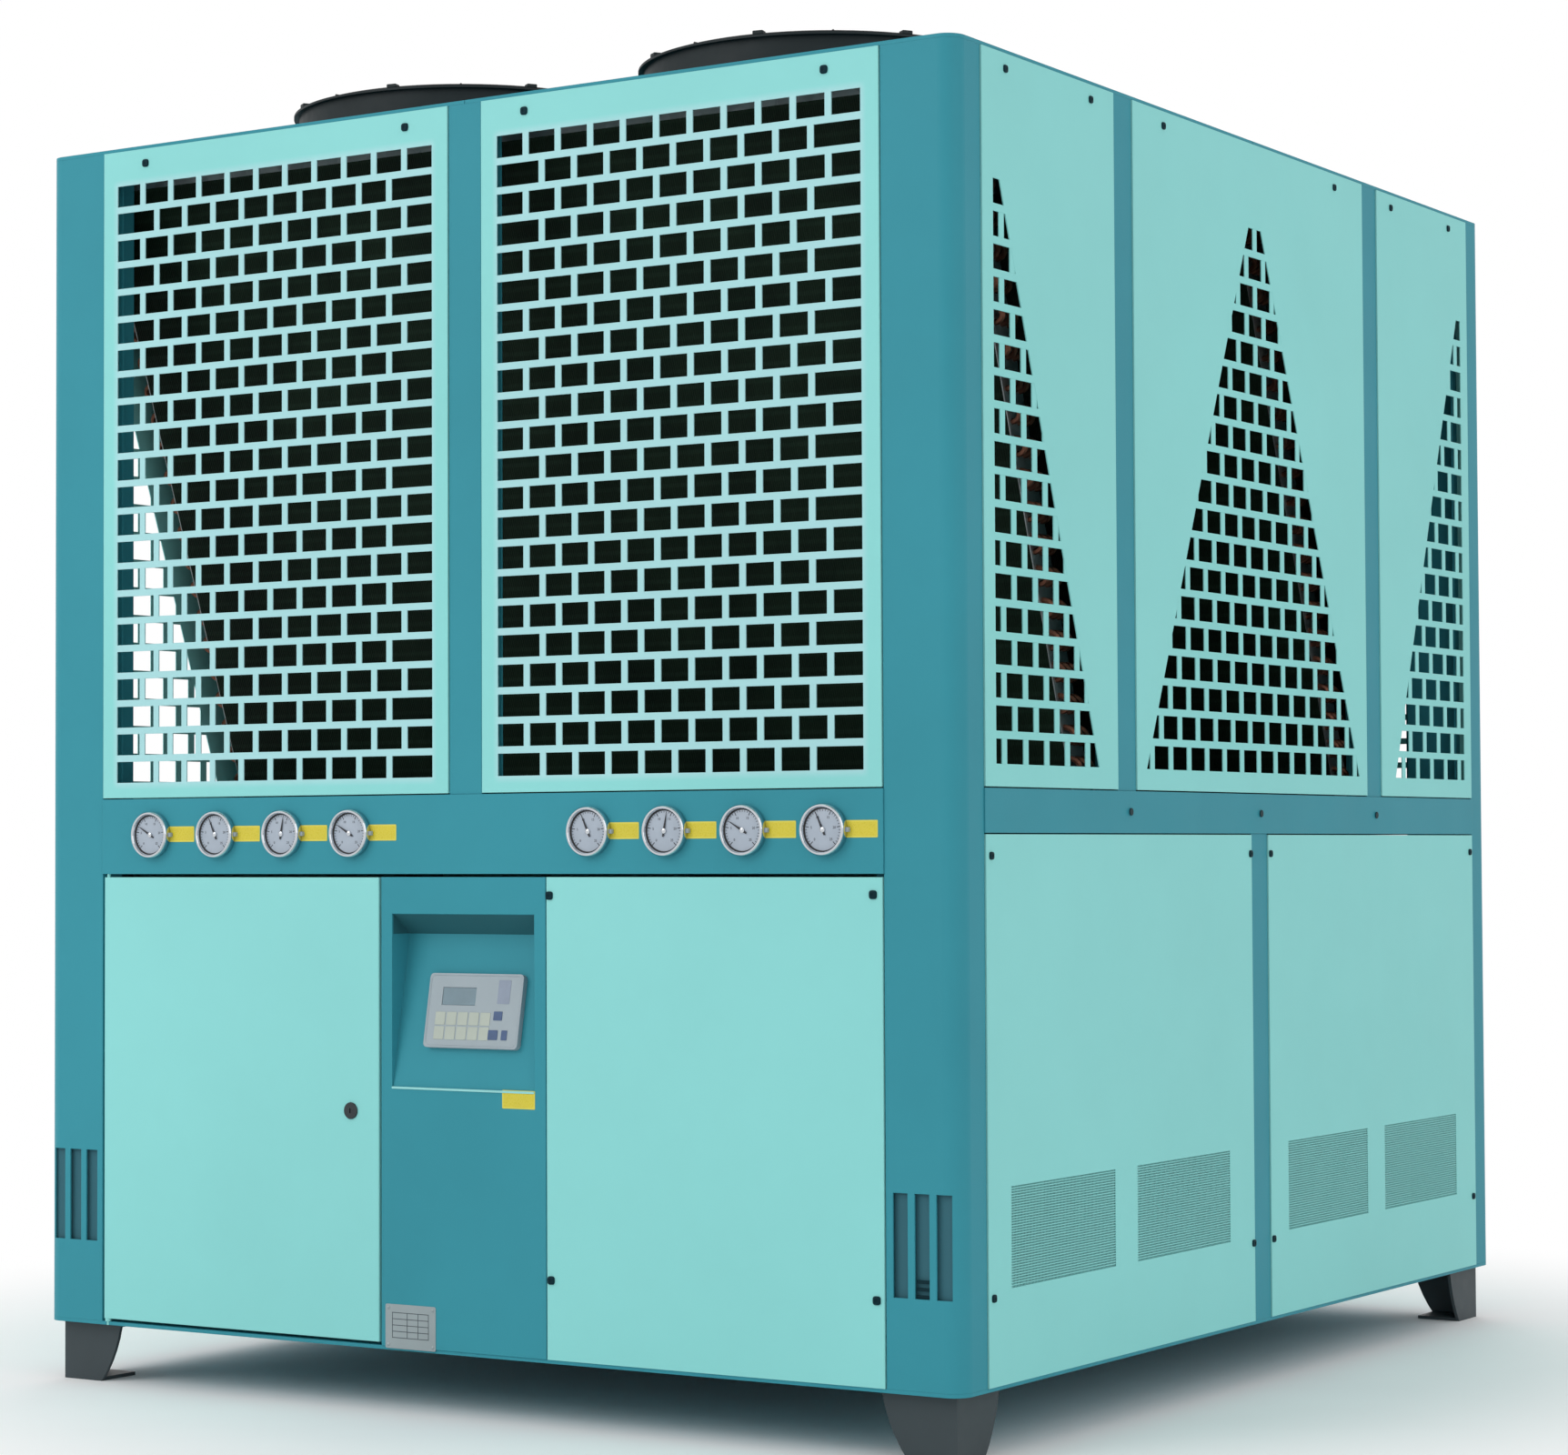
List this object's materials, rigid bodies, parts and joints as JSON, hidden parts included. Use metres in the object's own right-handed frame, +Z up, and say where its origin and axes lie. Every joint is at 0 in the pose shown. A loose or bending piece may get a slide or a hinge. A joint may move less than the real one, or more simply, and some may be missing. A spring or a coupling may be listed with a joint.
{
  "type": "air-cooled screw chiller",
  "caption": "Box-shaped air-cooled screw chiller with perforated coil grilles, roof fans, a row of pressure gauges, a recessed control panel and a hinged electrical door.",
  "frame": {"origin": "on the floor, midway between the four anchor holes in the feet", "axes": "+Z up, +X to the right of someone who faces the gauges, +Y to the rear"},
  "size_m": [1.82, 2.152, 2.212],
  "materials": {
    "panel_paint": "satin mint powder coat",
    "frame_paint": "satin teal powder coat",
    "dark_paint": "satin charcoal powder coat",
    "zinc": "galvanised sheet",
    "operator_plastic": "matt moulded plastic",
    "switch_plastic": "matt moulded plastic",
    "chrome": "polished",
    "coil_fins": "dark fins on copper tubes",
    "pipe_paint": "satin paint",
    "guard_wire": "black coated wire",
    "motor_paint": "satin black",
    "rotor_paint": "satin dark grey"
  },
  "bodies": {
    "cabinet": {"base_frame": "frame_paint", "feet": "dark_paint", "post_front_left": "frame_paint", "post_front_right": "frame_paint", "post_rear_left": "frame_paint", "post_rear_right": "frame_paint", "front_middle_post": "frame_paint", "rear_middle_posts": "frame_paint", "right_mullions": "frame_paint", "left_mullions": "frame_paint", "front_gauge_band": "frame_paint", "rear_band": "frame_paint", "right_band": "frame_paint", "left_band": "frame_paint", "machine_room_roof": "zinc", "front_left_grille": "panel_paint", "front_right_grille": "panel_paint", "rear_grilles": "panel_paint", "right_grille_1": "panel_paint", "right_grille_2": "panel_paint", "right_grille_3": "panel_paint", "right_lower_panels": "panel_paint", "left_grille_1": "panel_paint", "left_grille_2": "panel_paint", "left_grille_3": "panel_paint", "left_lower_panels": "panel_paint", "front_lower_panel": "panel_paint", "rear_lower_panels": "panel_paint", "vent_screens": "panel_paint", "control_column": "frame_paint", "control_operator": "operator_plastic", "electrical_enclosure": "zinc", "switchgear": "switch_plastic", "pressure_gauges": "chrome", "condenser_coils_front": "coil_fins", "condenser_coils_rear": "coil_fins", "deck_beams": "zinc", "water_connections": "pipe_paint", "fan_deck_1": "frame_paint", "fan_shroud_1": "dark_paint", "fan_guard_1": "guard_wire", "fan_motor_1": "motor_paint", "fan_deck_2": "frame_paint", "fan_shroud_2": "dark_paint", "fan_guard_2": "guard_wire", "fan_motor_2": "motor_paint", "fan_deck_3": "frame_paint", "fan_shroud_3": "dark_paint", "fan_guard_3": "guard_wire", "fan_motor_3": "motor_paint", "fan_deck_4": "frame_paint", "fan_shroud_4": "dark_paint", "fan_guard_4": "guard_wire", "fan_motor_4": "motor_paint"},
    "electrical_door": {"electrical_door": "panel_paint", "door_lock": "chrome"},
    "fan_rotor_1": {"fan_rotor_1": "rotor_paint"},
    "fan_rotor_2": {"fan_rotor_2": "rotor_paint"},
    "fan_rotor_3": {"fan_rotor_3": "rotor_paint"},
    "fan_rotor_4": {"fan_rotor_4": "rotor_paint"}
  },
  "joints": [
    {"name": "electrical_door_hinge", "type": "hinge", "parent": "cabinet", "child": "electrical_door", "pos_m": [-0.7645, -1.02, 0.5], "axis": [0, 0, -1], "range_deg": [0, 110]},
    {"name": "fan_1_spin", "type": "hinge", "parent": "cabinet", "child": "fan_rotor_1", "pos_m": [-0.37, -0.516, 2.151], "axis": [0, 0, 1], "continuous": true},
    {"name": "fan_2_spin", "type": "hinge", "parent": "cabinet", "child": "fan_rotor_2", "pos_m": [0.37, -0.516, 2.151], "axis": [0, 0, 1], "continuous": true},
    {"name": "fan_3_spin", "type": "hinge", "parent": "cabinet", "child": "fan_rotor_3", "pos_m": [-0.37, 0.516, 2.151], "axis": [0, 0, 1], "continuous": true},
    {"name": "fan_4_spin", "type": "hinge", "parent": "cabinet", "child": "fan_rotor_4", "pos_m": [0.37, 0.516, 2.151], "axis": [0, 0, 1], "continuous": true}
  ]
}
